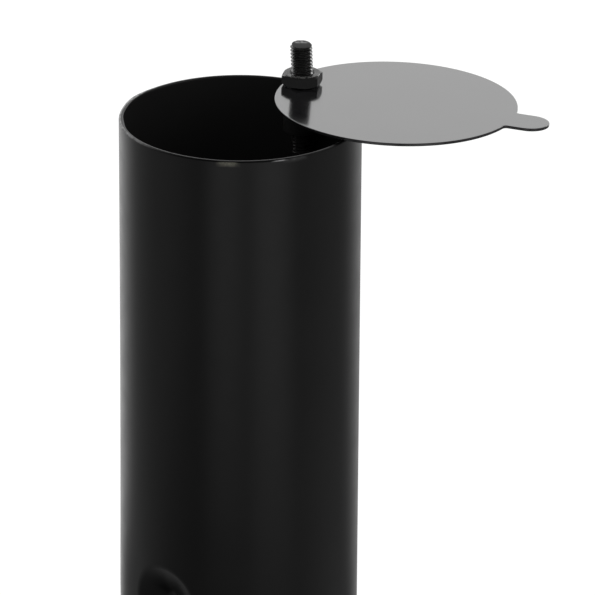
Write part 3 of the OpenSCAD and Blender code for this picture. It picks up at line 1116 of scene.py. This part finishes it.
def black_oxide(name, rough, gloss, mark_z, mark_colour, end_rough=0.0, sides=None):
    """Oiled black oxide on steel, with a lighter grey painted above a height as a highlight; sides gives
    upright faces' own gloss and a lighter grey painted in place of their reflection.
    """
    material, n, place = new_material(name)
    stain = n.noise(place, 420, 4)
    colour = n.mix(n.remap(stain, 0.35, 0.7, 0, 1), (0.006, 0.006, 0.006), (0.014, 0.0137, 0.0133))
    n.give("Specular IOR Level", gloss)
    if sides is not None:
        # Upright faces get less gloss and a lighter grey, painted in place of their reflection
        side_gloss, side_painted_grey = sides
        level = n.level_share(0.25, 0.6)
        colour = n.mix(level, (side_painted_grey, side_painted_grey, side_painted_grey), colour)
        n.give("Specular IOR Level", n.remap(level, 0.0, 1.0, side_gloss, gloss))
    height = n.parts(place)["Z"]
    # Above the given height a mottled lighter grey is painted: a highlight along the back of the stud's end,
    # a sheen on the nut's top
    above = n.remap(height, mark_z - MARK_FADE, mark_z, 0.0, 1.0)
    share = n.maths("MULTIPLY", above, n.remap(n.noise(place, 900, 4, 0.6), 0.4, 0.62, 0.0, 1.0))
    n.give("Base Color", n.mix(share, colour, mark_colour))
    even = n.remap(stain, 0.3, 0.7, rough - 0.05, rough + 0.05)
    end = n.remap(height, mark_z - END_DROP, mark_z - END_DROP + MARK_FADE, 0.0, end_rough)
    n.give("Roughness", n.maths("ADD", even, end))
    n.give("Normal", n.bump(n.noise(place, 2600, 2), 0.003 * MM))
    return material


def screw_zinc():
    """Dull zinc plating."""
    material, n, place = new_material("screw_zinc")
    stain = n.noise(place, 700, 4)
    n.give("Base Color", n.mix(n.remap(stain, 0.3, 0.7, 0, 1), (0.42, 0.42, 0.43), (0.58, 0.58, 0.58)))
    n.give("Roughness", n.remap(stain, 0.3, 0.7, 0.28, 0.42))
    n.give("Metallic", 1.0)
    n.give("Normal", n.bump(n.noise(place, 2600, 2), 0.003 * MM))
    return material


def gasket_fibre():
    """Pressed ceramic fibre, pale and felted."""
    material, n, place = new_material("gasket_fibre")
    fibre = n.noise(place, 900, 6, 0.7)
    n.give("Base Color", n.mix(n.remap(fibre, 0.3, 0.7, 0, 1), (0.5, 0.47, 0.41), (0.74, 0.72, 0.66)))
    n.give("Roughness", 0.9)
    n.give("Specular IOR Level", 0.2)
    n.give("Normal", n.bump(fibre, 0.12 * MM))
    return material


def mirrored_ray(n):
    """1 for rays that come by way of gloss or glass."""
    path = n.add("ShaderNodeLightPath")
    return n.maths("MAXIMUM", path.outputs["Is Glossy Ray"], path.outputs["Is Transmission Ray"])


def camera_ray(n):
    """1 for rays that come straight from the camera."""
    return n.add("ShaderNodeLightPath").outputs["Is Camera Ray"]


def studio_world():
    """Even light, white to the camera; gloss sees a room that is darker overhead and behind the camera."""
    world = bpy.data.worlds.new("studio")
    world.use_nodes = True
    bpy.context.scene.world = world
    n = Nodes(world.node_tree, "Background")
    n.give("Color", (1, 1, 1, 1))
    away = n.parts(n.add("ShaderNodeTexCoord").outputs["Generated"])
    horizon = math.sin(math.radians(HORIZON_DEG))
    ceiling = math.sin(math.radians(CEILING_DEG))
    room = n.maths("MULTIPLY", n.remap(away["Z"], horizon, ceiling, 1.0, CEILING),
                   n.remap(away["Y"], 0.0, FULL_ROOM_Y, CAMERA_SIDE, 1.0))
    mirror = n.maths("MULTIPLY", mirrored_ray(n), n.maths("SUBTRACT", room, AMBIENT))
    seen = n.maths("MULTIPLY", camera_ray(n), 1.0 - AMBIENT)
    n.give("Strength", n.maths("ADD", n.maths("ADD", mirror, seen), AMBIENT))


def card_glow(n, across, reach, azimuth_deg, half_deg, near, far):
    """Brightness of a card, soft at its sides. Azimuth 0 is in front of the object, and 90 to its right."""
    azimuth = math.radians(azimuth_deg)
    face = n.along(across, (math.sin(azimuth), -math.cos(azimuth), 0))
    side = n.remap(face, math.cos(math.radians(half_deg)), 1.0, 0.0, 1.0)
    return n.maths("MULTIPLY", side, n.remap(reach, CARD_NEAR, CARD_FAR, near, far))


def floor_material():
    """Pale floor, white to the camera; gloss sees its own grey and the cards on it."""
    material, n, place = new_material("pale_floor")
    n.give("Base Color", (FLOOR_GREY, FLOOR_GREY, FLOOR_GREY, 1))
    n.give("Roughness", 0.9)
    n.give("Specular IOR Level", 0.1)
    n.give("Emission Color", (1, 1, 1, 1))
    reach = n.vector("LENGTH", place)["Value"]
    across = n.vector("NORMALIZE", place)["Vector"]
    azimuth, half, glow, full, end = FOOT_CARD
    foot = card_glow(n, across, reach, azimuth, half, 1.0, 1.0)
    mirror = n.maths("MULTIPLY", foot, n.remap(reach, full, end, glow, 0.0))
    for card in CARDS:
        mirror = n.maths("ADD", mirror, card_glow(n, across, reach, *card))
    mirror = n.maths("MULTIPLY", mirror, n.remap(reach, SHADE_NEAR, SHADE_FAR, 0.0, 1.0))
    mirror = n.maths("MULTIPLY", mirror, mirrored_ray(n))
    seen = n.maths("MULTIPLY", camera_ray(n), FLOOR_GLOW)
    n.give("Emission Strength", n.maths("ADD", mirror, seen))
    return material


def studio_floor():
    """The floor, far wider than any view."""
    shell = Shell()
    theta = np.arange(FLOOR_SIDES) / FLOOR_SIDES * FULL_TURN
    shell.add_cap(np.stack([FLOOR_R * np.cos(theta), FLOOR_R * np.sin(theta), 0 * theta], -1))
    mesh = bpy.data.meshes.new("floor")
    mesh.from_pydata(np.concatenate(shell.points).tolist(), [], shell.faces)
    mesh.materials.append(floor_material())
    floor = bpy.data.objects.new("floor", mesh)
    bpy.context.scene.collection.objects.link(floor)


def softbox(name, azimuth_deg, elevation_deg, reach, width, height, glow):
    """An area lamp that faces the object. Azimuth 0 is behind the object, and 90 to its right."""
    data = bpy.data.lights.new(name, "AREA")
    data.shape = "RECTANGLE"
    data.size = width
    data.size_y = height
    data.energy = glow * math.pi * width * height
    lamp = bpy.data.objects.new(name, data)
    azimuth = math.radians(azimuth_deg)
    elevation = math.radians(elevation_deg)
    away = Vector((math.sin(azimuth) * math.cos(elevation), math.cos(azimuth) * math.cos(elevation),
                   math.sin(elevation)))
    lamp.location = LAMP_AIM + away * reach
    lamp.rotation_euler = away.to_track_quat("Z", "Y").to_euler()
    lamp.visible_camera = False
    bpy.context.scene.collection.objects.link(lamp)


def photo_camera():
    """The camera of the photograph, from the fitted pitch, roll, reach and aim."""
    pitch = math.radians(CAMERA_PITCH_DEG)
    roll = math.radians(CAMERA_ROLL_DEG)
    forward = Vector((0, math.cos(pitch), -math.sin(pitch)))
    right = Vector((1, 0, 0))
    down = forward.cross(right)
    across = math.cos(roll) * right + math.sin(roll) * down
    up = math.sin(roll) * right - math.cos(roll) * down
    axes = Matrix((across, up, -forward)).transposed().to_4x4()
    data = bpy.data.cameras.new("camera")
    data.lens = LENS
    data.sensor_width = SENSOR
    data.clip_end = FAR_CLIP
    camera = bpy.data.objects.new("camera", data)
    camera.matrix_world = Matrix.Translation(CAMERA_AIM - forward * CAMERA_REACH) @ axes
    bpy.context.scene.collection.objects.link(camera)
    bpy.context.scene.camera = camera


def build_pieces():
    """Every piece, with its finish."""
    paint = flue_paint()
    thread = black_oxide("black_thread", STUD_ROUGH, STUD_GLOSS, STUD_HIGHLIGHT_Z, STUD_END_HIGHLIGHT, STUD_END_ROUGH)
    oxide = black_oxide("black_oxide", NUT_ROUGH, NUT_GLOSS, NUT_HIGH.z, NUT_TOP_SHEEN, sides=NUT_SIDES)
    flue_tube(paint)
    base_plate("base_flange_plate", FLANGE_LOW, FLANGE_HIGH, FLANGE_EDGE, paint, "flue_paint",
               "base_flange")
    pivot_lug(paint)
    lug_weld(paint)
    collar_weld(paint)
    base_plate("fibre_gasket", GASKET_LOW, GASKET_HIGH, GASKET_EDGE, gasket_fibre(), "gasket_fibre",
               "flange_gasket")
    damper_lid(lid_paint())
    pivot_stud(thread)
    lid_nut(oxide)
    collar_screws(screw_zinc())
    collar = frame["nodes"]["spigot_collar"]
    collar.data.materials.clear()
    collar.data.materials.append(paint)


def build_studio():
    """Room, floor and lamps."""
    bpy.context.scene.view_settings.view_transform = "Standard"
    studio_world()
    studio_floor()
    for box in SOFTBOXES:
        softbox(*box)


build_pieces()
build_studio()
photo_camera()
